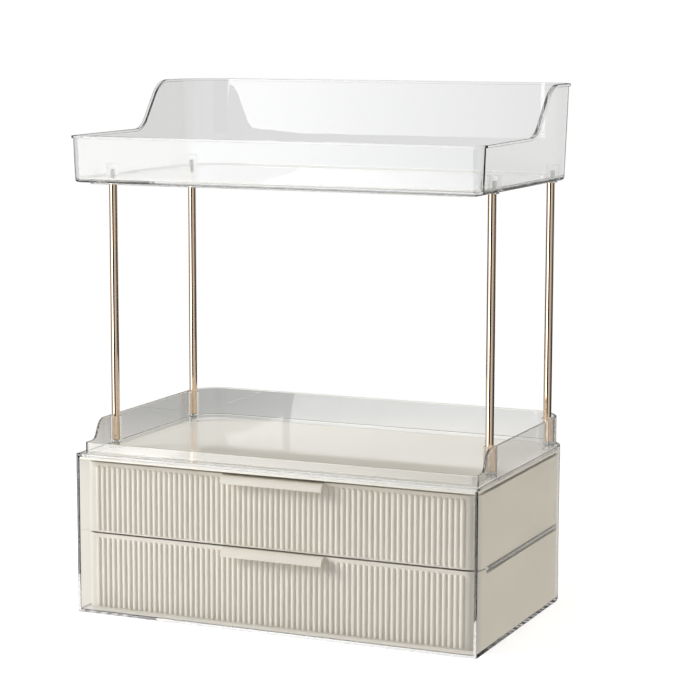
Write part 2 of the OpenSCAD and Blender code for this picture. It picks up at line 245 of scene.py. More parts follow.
def clear_of_walls(piece):
    """Draws a bonded panel's sides and back in by the thickness of its bond."""
    for point in piece.data.vertices:
        point.co.x -= math.copysign(bond_line, point.co.x)
        if point.co.y > 0:
            point.co.y -= bond_line
    return piece


shelf = clear_of_walls(rebuilt("shelf_clear", "mid_shelf"))
round_edges(shelf, shelf_edge)
finish_piece(shelf, "root", "clear_plastic", clear_plastic, "mid_shelf")

# Each drawer's tub is a plain open box of cream plastic, wide at the back and narrower
# between the returns of its front. It slides on the case's floor or on the shelf.
tub_edge = 0.5 * MM
cream_light = (0.86, 0.82, 0.735, 1.0)
cream_dark = (0.825, 0.782, 0.695, 1.0)
cream_roughness = (0.4, 0.5)
cream_ior = 1.47


def finish_opaque(tree, shader, mask, colours, roughness, relief):
    """Sets a shader's colour and roughness from a mask, and its relief from a height, strength and depth."""
    tree.links.new(blended(tree, ranged(tree, mask, 0.0, 1.0), *colours), shader.inputs["Base Color"])
    tree.links.new(ranged(tree, mask, *roughness), shader.inputs["Roughness"])
    tree.links.new(raised(tree, *relief), shader.inputs["Normal"])


def cream_plastic_material():
    """Satin cream plastic with a faint cloudiness and the fine grain of its mould."""
    material, tree, output, surface = material_with_surface("cream_plastic", 22.0, 1400.0)
    plastic = shader_node(tree, "ShaderNodeBsdfPrincipled", IOR=cream_ior)
    finish_opaque(tree, plastic, surface.outputs["Clouds"], (cream_light, cream_dark), cream_roughness,
                  (surface.outputs["Grain"], 0.12, 0.05 * MM))
    tree.links.new(plastic.outputs["BSDF"], output.inputs["Surface"])
    return material


cream_plastic = cream_plastic_material()

for tier in ("lower", "upper"):
    tub = round_edges(rebuilt(f"tub_{tier}", f"{tier}_drawer_tub"), tub_edge)
    finish_piece(tub, f"{tier}_drawer", "cream_plastic", cream_plastic, f"{tier}_drawer_tub")

# Each drawer front is a moulded panel with round corners that turn back into side returns.
# Upright half-round ribs with domed ends stand on it, and a bent lip along its top is the pull.
# Four pegs behind it enter the tub.
drawer_x = 154.7
front_y = -93.5
rib_height = 1.1
face_y = front_y + rib_height
panel_back = -90.9
return_y = -77.5
neck_x = 152.1
front_corner_r = 8.0
inner_corner_r = 5.4
rib_pitch = 4.3
rib_count = 68
rib_top_rim = 2.4
rib_foot_rim = 0.8
rib_root = 0.6
pull_half = 40.0
pull_reach = 7.6
pull_drop = 6.0
pull_t = 2.0
pull_nose_r = 5.0
pull_root = 0.8
front_edge = 0.4 * MM
peg_r = 2.5
peg_length = 2.75
peg_reach = 2.0
peg_height_shares = (0.25, 0.75)
corner_steps = 10
rib_cuts = (9, 2, 12)


def arc(centre, radius, start, end, steps):
    """Points along an arc, in degrees, both ends counted."""
    turns = [math.radians(start + (end - start) * i / steps) for i in range(steps + 1)]
    return [(centre[0] + radius * math.cos(a), centre[1] + radius * math.sin(a)) for a in turns]


def prism(outline, low, high, to_space):
    """A closed solid from a flat outline, drawn out between two places."""
    shell = bmesh.new()
    ends = [[shell.verts.new(Vector(to_space(p, place)) * MM) for p in outline] for place in (low, high)]
    count = len(outline)
    for i in range(count):
        j = (i + 1) % count
        shell.faces.new((ends[0][i], ends[0][j], ends[1][j], ends[1][i]))
    shell.faces.new(ends[0])
    shell.faces.new(ends[1])
    return shell


def turned(profile, sides):
    """A closed solid about Z, turned from points of radius and height that start and end on the axis."""
    shell = bmesh.new()
    rings = []
    for radius, height in profile:
        if radius == 0:
            rings.append([shell.verts.new((0.0, 0.0, height * MM))])
            continue
        angles = [2 * math.pi * i / sides for i in range(sides)]
        rings.append([shell.verts.new((radius * MM * math.cos(a), radius * MM * math.sin(a), height * MM))
                      for a in angles])
    for below, above in zip(rings, rings[1:]):
        for i in range(sides):
            j = (i + 1) % sides
            if len(below) == 1:
                shell.faces.new((below[0], above[j], above[i]))
            elif len(above) == 1:
                shell.faces.new((below[i], below[j], above[0]))
            else:
                shell.faces.new((below[i], below[j], above[j], above[i]))
    return shell


def combined(piece, other, operation):
    """One solid joined to another or cut out of it. The second one is used up."""
    cut = piece.modifiers.new("cut", "BOOLEAN")
    cut.operation = operation
    cut.solver = "MANIFOLD"
    cut.object = other
    settle(piece)
    bpy.data.objects.remove(other)
    return piece


def front_panel_outline():
    """The panel seen from above: round corners, short returns and an even wall."""
    outer_x = drawer_x - front_corner_r
    inner_x = neck_x - inner_corner_r
    outside = ([(-drawer_x, return_y)]
               + arc((-outer_x, face_y + front_corner_r), front_corner_r, 180, 270, corner_steps)
               + arc((outer_x, face_y + front_corner_r), front_corner_r, 270, 360, corner_steps)
               + [(drawer_x, return_y)])
    inside = ([(neck_x, return_y)]
              + arc((inner_x, panel_back + inner_corner_r), inner_corner_r, 0, -90, corner_steps)
              + arc((-inner_x, panel_back + inner_corner_r), inner_corner_r, -90, -180, corner_steps)
              + [(-neck_x, return_y)])
    return outside + inside


def pull_outline(top):
    """The lip seen from the side: flat on top, rounded at the nose and hollow underneath."""
    nose = face_y - pull_reach
    low = top - pull_drop
    inner_r = pull_nose_r - pull_t
    over_top = arc((nose + pull_nose_r, top - pull_nose_r), pull_nose_r, 90, 180, corner_steps)
    under = arc((nose + pull_nose_r, top - pull_nose_r), inner_r, 180, 90, corner_steps)
    rooted = face_y + pull_root
    return ([(rooted, top)] + over_top + [(nose, low), (nose + pull_t, low)] + under
            + [(rooted, top - pull_t)])


def number(tree, operation, first, second=0.0):
    """One step of arithmetic in a tree."""
    node = tree.nodes.new("ShaderNodeMath")
    node.operation = operation
    for socket, value in zip(node.inputs, (first, second)):
        fill(tree, socket, value)
    return node.outputs[0]


def shape_tree(name, inputs):
    """A geometry tree with a geometry socket each way and its own named inputs."""
    tree = bpy.data.node_groups.new(name, "GeometryNodeTree")
    tree.interface.new_socket("Geometry", in_out="INPUT", socket_type="NodeSocketGeometry")
    for label, kind in inputs:
        tree.interface.new_socket(label, in_out="INPUT", socket_type="NodeSocket" + kind)
    tree.interface.new_socket("Geometry", in_out="OUTPUT", socket_type="NodeSocketGeometry")
    return tree, tree.nodes.new("NodeGroupInput"), tree.nodes.new("NodeGroupOutput")


def combine(tree, x=0.0, y=0.0, z=0.0):
    """A vector from three numbers or sockets."""
    node = tree.nodes.new("ShaderNodeCombineXYZ")
    for socket, value in zip(node.inputs, (x, y, z)):
        fill(tree, socket, value)
    return node.outputs[0]


def close_tree(tree, shapes, given, put_out):
    """Joins the shapes, makes them real mesh and gives them their material."""
    join = tree.nodes.new("GeometryNodeJoinGeometry")
    for shape in shapes:
        tree.links.new(shape, join.inputs[0])
    real = tree.nodes.new("GeometryNodeRealizeInstances")
    tree.links.new(join.outputs[0], real.inputs[0])
    paint = tree.nodes.new("GeometryNodeSetMaterial")
    tree.links.new(real.outputs[0], paint.inputs[0])
    tree.links.new(given.outputs["Finish"], paint.inputs["Material"])
    tree.links.new(paint.outputs[0], put_out.inputs[0])


def ribs_tree():
    """Half-round ribs with domed ends, a row of them along the panel."""
    tree, given, put_out = shape_tree("front_ribs", [
        ("Rib Count", "Int"), ("Rib Pitch", "Float"), ("Rib Radius", "Float"), ("Rib Height", "Float"),
        ("Rib Foot", "Float"), ("Rib Top", "Float"), ("Face Y", "Float"), ("Rib Root", "Float"),
        ("Finish", "Material")])
    block = tree.nodes.new("GeometryNodeMeshCube")
    block.inputs["Size"].default_value = (2.0, 2.0, 2.0)
    for axis, cuts in zip("XYZ", rib_cuts):
        block.inputs["Vertices " + axis].default_value = cuts
    place = tree.nodes.new("GeometryNodeInputPosition")
    split = tree.nodes.new("ShaderNodeSeparateXYZ")
    tree.links.new(place.outputs[0], split.inputs[0])
    half_pitch = number(tree, "MULTIPLY", given.outputs["Rib Pitch"], 0.5)
    length = number(tree, "SUBTRACT", given.outputs["Rib Top"], given.outputs["Rib Foot"])
    straight = number(tree, "SUBTRACT", number(tree, "MULTIPLY", length, 0.5), half_pitch)
    across = number(tree, "MULTIPLY", split.outputs[0], half_pitch)
    turn = number(tree, "MULTIPLY", number(tree, "ABSOLUTE", split.outputs[2]), math.pi / 2)
    past_end = number(tree, "MULTIPLY", number(tree, "SINE", turn), half_pitch)
    upright = number(tree, "MULTIPLY", number(tree, "SIGN", split.outputs[2]),
                     number(tree, "ADD", straight, past_end))
    from_axis = number(tree, "ADD", number(tree, "MULTIPLY", across, across),
                       number(tree, "MULTIPLY", past_end, past_end))
    radius = given.outputs["Rib Radius"]
    inside = number(tree, "MAXIMUM",
                    number(tree, "SUBTRACT", number(tree, "MULTIPLY", radius, radius), from_axis), 0.0)
    sunk = number(tree, "SUBTRACT", radius, given.outputs["Rib Height"])
    lift = number(tree, "SUBTRACT", number(tree, "SQRT", inside), sunk)
    lift = number(tree, "MAXIMUM", lift, number(tree, "MULTIPLY", given.outputs["Rib Root"], -0.5))
    is_back = number(tree, "GREATER_THAN", split.outputs[1], 0.0)
    front_side = number(tree, "MULTIPLY", lift, number(tree, "SUBTRACT", 1.0, is_back))
    back_side = number(tree, "MULTIPLY", given.outputs["Rib Root"], is_back)
    depth = number(tree, "ADD", given.outputs["Face Y"], number(tree, "SUBTRACT", back_side, front_side))
    shape = tree.nodes.new("GeometryNodeSetPosition")
    tree.links.new(block.outputs["Mesh"], shape.inputs["Geometry"])
    tree.links.new(combine(tree, across, depth, upright), shape.inputs["Position"])
    smooth = tree.nodes.new("GeometryNodeSetShadeSmooth")
    tree.links.new(shape.outputs[0], smooth.inputs[0])
    row = tree.nodes.new("GeometryNodeMeshLine")
    tree.links.new(given.outputs["Rib Count"], row.inputs["Count"])
    steps = number(tree, "SUBTRACT", given.outputs["Rib Count"], 1.0)
    start = number(tree, "MULTIPLY", number(tree, "MULTIPLY", steps, half_pitch), -1.0)
    both_ends = number(tree, "ADD", given.outputs["Rib Top"], given.outputs["Rib Foot"])
    middle = number(tree, "MULTIPLY", both_ends, 0.5)
    tree.links.new(combine(tree, start, 0.0, middle), row.inputs["Start Location"])
    tree.links.new(combine(tree, given.outputs["Rib Pitch"]), row.inputs["Offset"])
    stand = tree.nodes.new("GeometryNodeInstanceOnPoints")
    tree.links.new(row.outputs[0], stand.inputs["Points"])
    tree.links.new(smooth.outputs[0], stand.inputs["Instance"])
    close_tree(tree, (given.outputs["Geometry"], stand.outputs[0]), given, put_out)
    return tree


def run_tree(piece, tree, **inputs):
    """Adds a geometry tree to a piece, with its inputs set by their sockets' identifiers."""
    run = piece.modifiers.new(tree.name, "NODES")
    run.node_group = tree
    for item in tree.interface.items_tree:
        key = item.name.lower().replace(" ", "_")
        if item.in_out == "INPUT" and key in inputs:
            run[item.identifier] = inputs[key]
    return piece


front_ribs = ribs_tree()
half_pitch = rib_pitch / 2
rib_radius = (half_pitch ** 2 + rib_height ** 2) / (2 * rib_height)

for tier in ("lower", "upper"):
    node = f"{tier}_drawer_front"
    low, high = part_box(node)
    foot, top = low.z / MM, high.z / MM
    front = piece_from(prism(front_panel_outline(), foot, top, lambda p, z: (p[0], p[1], z)), f"front_{tier}")
    lip = prism(pull_outline(top), -pull_half, pull_half, lambda p, x: (x, p[0], p[1]))
    combined(front, piece_from(lip, "lip"), "UNION")
    round_edges(front, front_edge)
    tub_low, tub_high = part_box(f"{tier}_drawer_tub")
    for side in (-neck_x / 2, neck_x / 2):
        for share in peg_height_shares:
            height = (tub_low.z + (tub_high.z - tub_low.z) * share) / MM
            peg = piece_from(turned([(0, -peg_length), (peg_r, -peg_length), (peg_r, 0), (0, 0)], 24), "peg")
            peg.data.transform(Matrix.Rotation(math.radians(90), 4, "X"))
            peg_y = panel_back + peg_reach - peg_length
            peg.data.transform(Matrix.Translation(Vector((side, peg_y, height)) * MM))
            combined(front, peg, "UNION")
    run_tree(front, front_ribs, rib_count=rib_count, rib_pitch=rib_pitch * MM, rib_radius=rib_radius * MM,
             rib_height=rib_height * MM, rib_foot=(foot + rib_foot_rim) * MM,
             rib_top=(top - rib_top_rim) * MM, face_y=face_y * MM, rib_root=rib_root * MM,
             finish=cream_plastic)
    settle(front)
    finish_piece(front, f"{tier}_drawer", "cream_plastic", cream_plastic, node)

# The lower tray's walls are clear plastic with a low front lip. They rise in a short curve
# behind the front, and a sleeve moulded onto each corner of them takes a rod.
# They stand in the plate's groove, inside the case's rim, and a screw in each sleeve holds its rod down.
tray_seat = 117.1
tray_foot = 117.14
tray_foot_round = 0.3
tray_half = 155.0
tray_front = -94.0
tray_back = 97.5
tray_rear_r = 25.0
tray_front_r = 4.0
tray_wall = 2.0
tray_lip_z = 127.3
tray_wall_z = 142.0
tray_rim_round = 0.6
tray_rise_y = -83.5
tray_rise_foot_r = 7.0
tray_rise_crown_r = 10.0
tray_rise_slope = 62.0
small_corner_steps = 8
large_corner_steps = 18
edge_steps = 14
wall_angle = math.radians(50)
rod_spots = [(-149.5, -55.5), (149.5, -55.5), (-149.5, 71.0), (149.5, 71.0)]
sleeve_r = 4.5
sleeve_top = 141.5
sleeve_bevel = 0.6
rod_r = 3.0
rod_bore_r = 3.05
screw_bore_r = 1.55
pocket_r = 3.1
screw_seat = 121.6
rod_foot = 123.6
cut_past = 1.0


def rising_edge(start, low, high, foot_r, crown_r, slope):
    """A wall's top edge from the front backwards: a hollow arc, a straight slope and a crowned arc."""
    lean = math.radians(slope)
    climb = high - low - (foot_r + crown_r) * (1 - math.cos(lean))
    crown_y = start + (foot_r + crown_r) * math.sin(lean) + climb / math.tan(lean)
    turns = [lean * i / edge_steps for i in range(edge_steps + 1)]
    foot = [(start + foot_r * math.sin(a), low + foot_r * (1 - math.cos(a))) for a in turns]
    crown = [(crown_y - crown_r * math.sin(a), high - crown_r * (1 - math.cos(a))) for a in reversed(turns)]
    return foot + crown


def height_at(edge, y):
    """The height of a wall's top edge at one place from front to back."""
    if y <= edge[0][0]:
        return edge[0][1]
    for (y0, z0), (y1, z1) in zip(edge, edge[1:]):
        if y <= y1:
            return z0 + (z1 - z0) * (y - y0) / (y1 - y0)
    return edge[-1][1]


def plan(half, front, back, front_r, rear_r, stops):
    """A tray's outline from above, as points with the direction that each one faces."""
    stops = [y for y in sorted(stops) if front + front_r < y < back - rear_r]
    corners = [((half - front_r, front + front_r), front_r, 270, small_corner_steps, stops),
               ((half - rear_r, back - rear_r), rear_r, 0, large_corner_steps, ()),
               ((rear_r - half, back - rear_r), rear_r, 90, large_corner_steps, stops[::-1]),
               ((front_r - half, front + front_r), front_r, 180, small_corner_steps, ())]
    points = []
    for (cx, cy), radius, start, steps, after in corners:
        for i in range(steps + 1):
            a = math.radians(start + 90 * i / steps)
            points.append((cx + radius * math.cos(a), cy + radius * math.sin(a), math.cos(a), math.sin(a)))
        side = 1 if cx > 0 else -1
        points += [(side * half, y, side, 0.0) for y in after]
    return points


def lofted(rings, hollow=False):
    """A closed shell through rings of equally many points. A hollow one joins its last ring to its first."""
    shell = bmesh.new()
    made = [[shell.verts.new(Vector(p) * MM) for p in ring] for ring in rings]
    for below, above in zip(made, made[1:] + made[:1] if hollow else made[1:]):
        for i in range(len(below)):
            j = (i + 1) % len(below)
            shell.faces.new((below[i], below[j], above[j], above[i]))
    if not hollow:
        shell.faces.new(made[0])
        shell.faces.new(made[-1])
    return shell


def quarter(radius, steps=4):
    """Offsets and drops round a quarter circle, from its side to its top."""
    turns = [math.pi / 2 * i / steps for i in range(steps + 1)]
    return [(radius * (1 - math.cos(a)), radius * (1 - math.sin(a))) for a in turns]


def ring(points, offset, height):
    """One ring of the outline, moved outwards by an offset, both given at each point."""
    return [(x + nx * offset(y), y + ny * offset(y), height(y)) for x, y, nx, ny in points]


def smooth_shaded(piece):
    """Smooth faces whose normals follow the large flat walls, not the small roundings."""
    for face in piece.data.polygons:
        face.use_smooth = True
    piece.data.set_sharp_from_angle(angle=wall_angle)
    even = piece.modifiers.new("even normals", "WEIGHTED_NORMAL")
    even.keep_sharp = True
    return settle(piece)


tray_edge = rising_edge(tray_rise_y, tray_lip_z, tray_wall_z, tray_rise_foot_r, tray_rise_crown_r,
                        tray_rise_slope)
tray_points = plan(tray_half, tray_front, tray_back, tray_front_r, tray_rear_r, [y for y, z in tray_edge])
tray_rings = [ring(tray_points, lambda y, d=d: -d, lambda y, h=h: tray_foot + h)
              for d, h in reversed(quarter(tray_foot_round))]
for inset, drop in quarter(tray_rim_round):
    tray_rings.append(ring(tray_points, lambda y, d=inset: -d, lambda y, h=drop: height_at(tray_edge, y) - h))
for inset, drop in reversed(quarter(tray_rim_round)):
    tray_rings.append(ring(tray_points, lambda y, d=inset: d - tray_wall,
                           lambda y, h=drop: height_at(tray_edge, y) - h))
for inset, drop in quarter(tray_foot_round):
    tray_rings.append(ring(tray_points, lambda y, d=inset: d - tray_wall, lambda y, h=drop: tray_foot + h))
lower_tray = piece_from(lofted(tray_rings, hollow=True), "tray_lower_clear")
for x, y in rod_spots:
    at_rod = Matrix.Translation(Vector((x, y, 0)) * MM)
    sleeve = piece_from(turned([(0, tray_foot), (sleeve_r - tray_foot_round, tray_foot),
                                (sleeve_r, tray_foot + tray_foot_round),
                                (sleeve_r, sleeve_top - sleeve_bevel), (sleeve_r - sleeve_bevel, sleeve_top),
                                (0, sleeve_top)], 64), "sleeve")
    sleeve.data.transform(at_rod)
    combined(lower_tray, sleeve, "UNION")
    bore_low = tray_seat - cut_past
    bore_high = sleeve_top + cut_past
    bore = piece_from(turned([(0, bore_low), (pocket_r, bore_low), (pocket_r, screw_seat),
                              (screw_bore_r, screw_seat), (screw_bore_r, rod_foot), (rod_bore_r, rod_foot),
                              (rod_bore_r, bore_high), (0, bore_high)], 64), "bore")
    bore.data.transform(at_rod)
    combined(lower_tray, bore, "DIFFERENCE")
smooth_shaded(lower_tray)
finish_piece(lower_tray, "root", "clear_plastic", clear_plastic, "lower_tray")

# An opaque plate is bonded into the case just below its rim and is the lower tray's floor.
# It is cream plastic with a polished upper face. A groove round it takes the tray's walls,
# and its front edge shows under the case's rail.
plate_edge = 0.15 * MM
gloss_light = (0.88, 0.84, 0.745, 1.0)
gloss_dark = (0.86, 0.815, 0.715, 1.0)
gloss_roughness = (0.06, 0.12)
gloss_ior = 1.5


def cream_gloss_material():
    """Polished cream plastic, a little lighter than the drawers' and with an almost even gloss."""
    material, tree, output, surface = material_with_surface("cream_gloss", 14.0, 900.0)
    plastic = shader_node(tree, "ShaderNodeBsdfPrincipled", IOR=gloss_ior)
    finish_opaque(tree, plastic, surface.outputs["Clouds"], (gloss_light, gloss_dark), gloss_roughness,
                  (surface.outputs["Clouds"], 0.04, 0.2 * MM))
    tree.links.new(plastic.outputs["BSDF"], output.inputs["Surface"])
    return material


plate = clear_of_walls(rebuilt("tray_plate", "tray_floor_plate"))
plate.data.transform(Matrix.Translation((0.0, 0.0, -bond_line)))
round_edges(plate, plate_edge)
finish_piece(plate, "root", "cream_gloss", cream_gloss_material(), "tray_floor_plate")

# Four turned rods stand in the lower tray's sleeves and carry the upper tray.
# They are metal with a champagne finish, tapped at both ends.
rod_top = 318.5
rod_bevel = 0.3
stud_bore_r = 1.8
tap_top = 132.15
stud_bore_foot = 312.0
rod_end_gap = 0.05
champagne_light = (0.82, 0.64, 0.48, 1.0)
champagne_dark = (0.77, 0.59, 0.43, 1.0)
champagne_roughness = (0.05, 0.08)


def champagne_metal_material():
    """Champagne-plated metal with the faint lengthwise lines of its polishing."""
    material, tree, output, surface = material_with_surface("champagne_metal", 30.0, 260.0, (1.0, 1.0, 0.02))
    metal = shader_node(tree, "ShaderNodeBsdfPrincipled", Metallic=1.0, Coat_Weight=0.3)
    finish_opaque(tree, metal, surface.outputs["Grain"], (champagne_light, champagne_dark),
                  champagne_roughness, (surface.outputs["Grain"], 0.05, 0.05 * MM))
    tree.links.new(metal.outputs["BSDF"], output.inputs["Surface"])
    return material


def at_rods_tree():
    """One turned part, set at each of the four rods."""
    tree, given, put_out = shape_tree("at_the_rods", [
        ("Spread X", "Float"), ("Spread Y", "Float"), ("Middle Y", "Float"), ("Finish", "Material")])
    spots = tree.nodes.new("GeometryNodeMeshGrid")
    spots.inputs["Vertices X"].default_value = 2
    spots.inputs["Vertices Y"].default_value = 2
    tree.links.new(given.outputs["Spread X"], spots.inputs["Size X"])
    tree.links.new(given.outputs["Spread Y"], spots.inputs["Size Y"])
    shift = tree.nodes.new("GeometryNodeSetPosition")
    tree.links.new(spots.outputs["Mesh"], shift.inputs["Geometry"])
    tree.links.new(combine(tree, 0.0, given.outputs["Middle Y"], 0.0), shift.inputs["Offset"])
    stand = tree.nodes.new("GeometryNodeInstanceOnPoints")
    tree.links.new(shift.outputs[0], stand.inputs["Points"])
    tree.links.new(given.outputs["Geometry"], stand.inputs["Instance"])
    close_tree(tree, (stand.outputs[0],), given, put_out)
    return tree


at_the_rods = at_rods_tree()
rod_spread_x = rod_spots[1][0] - rod_spots[0][0]
rod_spread_y = rod_spots[2][1] - rod_spots[0][1]
rod_middle_y = (rod_spots[2][1] + rod_spots[0][1]) / 2


def set_at_rods(piece, material):
    """Stands a part, made about the Z axis, at all four rods."""
    run_tree(piece, at_the_rods, spread_x=rod_spread_x * MM, spread_y=rod_spread_y * MM,
             middle_y=rod_middle_y * MM, finish=material)
    return settle(piece)


def shaded_turning(piece):
    """Smooth round faces with sharp shoulders."""
    for face in piece.data.polygons:
        face.use_smooth = True
    piece.data.set_sharp_from_angle(angle=curve_angle)
    return piece


champagne_metal = champagne_metal_material()
rod_low = rod_foot + rod_end_gap
rod_high = rod_top - rod_end_gap
rods = shaded_turning(piece_from(turned([
    (0, tap_top), (screw_bore_r, tap_top), (screw_bore_r, rod_low), (rod_r - rod_bevel, rod_low),
    (rod_r, rod_low + rod_bevel), (rod_r, rod_high - rod_bevel), (rod_r - rod_bevel, rod_high),
    (stud_bore_r, rod_high), (stud_bore_r, stud_bore_foot), (0, stud_bore_foot)], 64), "rods"))
set_at_rods(rods, champagne_metal)
corners = ("front_left", "front_right", "rear_left", "rear_right")
finish_piece(rods, "root", "champagne_metal", champagne_metal, *[f"rod_{corner}" for corner in corners])

# A threaded steel stud joins each rod to the upper tray, half of it in the rod and half in a boss.
# A steel screw under each sleeve holds the rod's foot down.
stud_r = 1.75
stud_core_r = 1.5
stud_foot = 312.5
stud_top = 327.5
stud_tip_in = 0.3
stud_tip_h = 0.4
thread_pitch = 0.7
thread_inset = 0.6
steel_light = (0.62, 0.62, 0.6, 1.0)
steel_dark = (0.52, 0.52, 0.5, 1.0)
steel_roughness = (0.2, 0.32)


def steel_material():
    """Plain bright steel with fine drawn lines."""
    material, tree, output, surface = material_with_surface("bright_steel", 60.0, 900.0, (1.0, 1.0, 0.1))
    metal = shader_node(tree, "ShaderNodeBsdfPrincipled", Metallic=1.0)
    finish_opaque(tree, metal, surface.outputs["Grain"], (steel_light, steel_dark), steel_roughness,
                  (surface.outputs["Grain"], 0.1, 0.03 * MM))
    tree.links.new(metal.outputs["BSDF"], output.inputs["Surface"])
    return material


def thread_tree():
    """A ridge that winds up a plain core."""
    tree, given, put_out = shape_tree("thread", [
        ("Core Radius", "Float"), ("Ridge Height", "Float"), ("Turns", "Float"), ("Length", "Float"),
        ("Foot", "Float"), ("Finish", "Material")])
    spiral = tree.nodes.new("GeometryNodeCurveSpiral")
    spiral.inputs["Resolution"].default_value = 20
    tree.links.new(given.outputs["Turns"], spiral.inputs["Rotations"])
    tree.links.new(given.outputs["Core Radius"], spiral.inputs["Start Radius"])
    tree.links.new(given.outputs["Core Radius"], spiral.inputs["End Radius"])
    tree.links.new(given.outputs["Length"], spiral.inputs["Height"])
    lift = tree.nodes.new("GeometryNodeSetPosition")
    tree.links.new(spiral.outputs[0], lift.inputs["Geometry"])
    tree.links.new(combine(tree, 0.0, 0.0, given.outputs["Foot"]), lift.inputs["Offset"])
    profile = tree.nodes.new("GeometryNodeCurvePrimitiveCircle")
    profile.inputs["Resolution"].default_value = 4
    tree.links.new(given.outputs["Ridge Height"], profile.inputs["Radius"])
    ridge = tree.nodes.new("GeometryNodeCurveToMesh")
    ridge.inputs["Fill Caps"].default_value = True
    tree.links.new(lift.outputs[0], ridge.inputs["Curve"])
    tree.links.new(profile.outputs[0], ridge.inputs["Profile Curve"])
    close_tree(tree, (given.outputs["Geometry"], ridge.outputs[0]), given, put_out)
    return tree


bright_steel = steel_material()
studs = shaded_turning(piece_from(turned([
    (0, stud_foot), (stud_core_r - stud_tip_in, stud_foot), (stud_core_r, stud_foot + stud_tip_h),
    (stud_core_r, stud_top - stud_tip_h), (stud_core_r - stud_tip_in, stud_top), (0, stud_top)],
    32), "studs"))
ridge_length = stud_top - stud_foot - 2 * thread_inset
run_tree(studs, thread_tree(), core_radius=stud_core_r * MM, ridge_height=(stud_r - stud_core_r) * MM,
         turns=ridge_length / thread_pitch, length=ridge_length * MM, foot=(stud_foot + thread_inset) * MM,
         finish=bright_steel)
set_at_rods(settle(studs), bright_steel)
finish_piece(studs, "root", "steel", bright_steel, *[f"rod_stud_{corner}" for corner in corners])
for corner in corners:
    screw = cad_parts[f"rod_screw_{corner}"]
    screw.data.materials.clear()
    screw.data.materials.append(bright_steel)

# The upper tray is clear plastic. Its walls lean out and end in a small flanged rim, which
# follows the side walls up to the high back. A foot ring and four bosses stand under its floor.
tier_z = 320.0
upper_half = 158.0
upper_front = -100.5
upper_back = 100.5
upper_front_r = 6.0
upper_rear_r = 28.0
upper_wall = 2.0
upper_floor = 2.5
upper_foot_r = 2.2
upper_foot_steps = 6
upper_inner_foot_r = 1.5
flare = 2.5
flare_from = 321.5
upper_top = 391.0
upper_low = 353.8
upper_side_low = 354.6
upper_curve_y = -4.0
upper_curve_foot_r = 22.5
upper_curve_crown_r = 29.5
upper_curve_slope = 50.0
climb_steps = 8
rim_w = 1.3
rim_t = 2.0
rim_round = 0.45
round_steps = 3
foot_h = 1.5
foot_inset = 8.0
foot_w = 2.0
foot_round = 0.4
foot_root = 1.2
boss_r = 4.75
boss_top = 331.5
boss_round = 0.5
stud_hole_top = 328.0

side_edge = rising_edge(upper_curve_y, upper_side_low, upper_top, upper_curve_foot_r, upper_curve_crown_r,
                        upper_curve_slope)
under_edge = rising_edge(upper_curve_y, upper_side_low - rim_t, upper_top - rim_t,
                         upper_curve_foot_r + rim_t, upper_curve_crown_r - rim_t, upper_curve_slope)
climb_y = upper_front + upper_front_r


def rim_height(y):
    """The rim climbs a little along the sides before the curve lifts it to the back."""
    if y < climb_y:
        return upper_low
    if y < upper_curve_y:
        return upper_low + (upper_side_low - upper_low) * (y - climb_y) / (upper_curve_y - climb_y)
    return height_at(side_edge, y)


def under_height(y):
    """The flange's underside, parallel to the rim's top."""
    return rim_height(y) - rim_t if y < upper_curve_y else height_at(under_edge, y)


def lean(height):
    """How far the outer wall stands out at one height."""
    return flare * max(0.0, height - flare_from) / (upper_top - flare_from)


upper_stops = [climb_y + (upper_curve_y - climb_y) * i / climb_steps for i in range(1, climb_steps)]
upper_stops += [y for y, z in side_edge] + [y for y, z in under_edge[edge_steps + 1:-1]]
upper_points = plan(upper_half, upper_front, upper_back, upper_front_r, upper_rear_r, upper_stops)
upper_rings = [ring(upper_points, lambda y, d=d: -d, lambda y, h=h: tier_z + h)
               for d, h in reversed(quarter(upper_foot_r, upper_foot_steps))]
upper_rings.append(ring(upper_points, lambda y: lean(under_height(y)), under_height))
for inset, drop in reversed(quarter(rim_round, round_steps)):
    upper_rings.append(ring(upper_points, lambda y, d=inset: lean(under_height(y)) + rim_w - d,
                            lambda y, h=drop: under_height(y) + h))
for inset, drop in quarter(rim_round, round_steps):
    upper_rings.append(ring(upper_points, lambda y, d=inset: lean(rim_height(y)) + rim_w - d,
                            lambda y, h=drop: rim_height(y) - h))
for inset, drop in reversed(quarter(rim_round, round_steps)):
    upper_rings.append(ring(upper_points, lambda y, d=inset: lean(rim_height(y)) - upper_wall + d,
                            lambda y, h=drop: rim_height(y) - h))
for inset, drop in quarter(upper_inner_foot_r):
    upper_rings.append(ring(upper_points, lambda y, d=inset: lean(tier_z + upper_floor) - upper_wall - d,
                            lambda y, h=drop: tier_z + upper_floor + h))
upper_tray = piece_from(lofted(upper_rings), "tray_upper_clear")


def foot_ring_shell():
    """The ring that keeps the upper tray's floor clear of whatever it is set down on."""
    outer = plan(upper_half - foot_inset, upper_front + foot_inset, upper_back - foot_inset,
                 upper_front_r, upper_rear_r - foot_inset, ())
    low, high = tier_z - foot_h, tier_z + foot_root
    around = [(0.0, high), (0.0, low + foot_round), (-foot_round, low), (foot_round - foot_w, low),
              (-foot_w, low + foot_round), (-foot_w, high)]
    return lofted([ring(outer, lambda y, d=d: d, lambda y, z=z: z) for d, z in around], hollow=True)


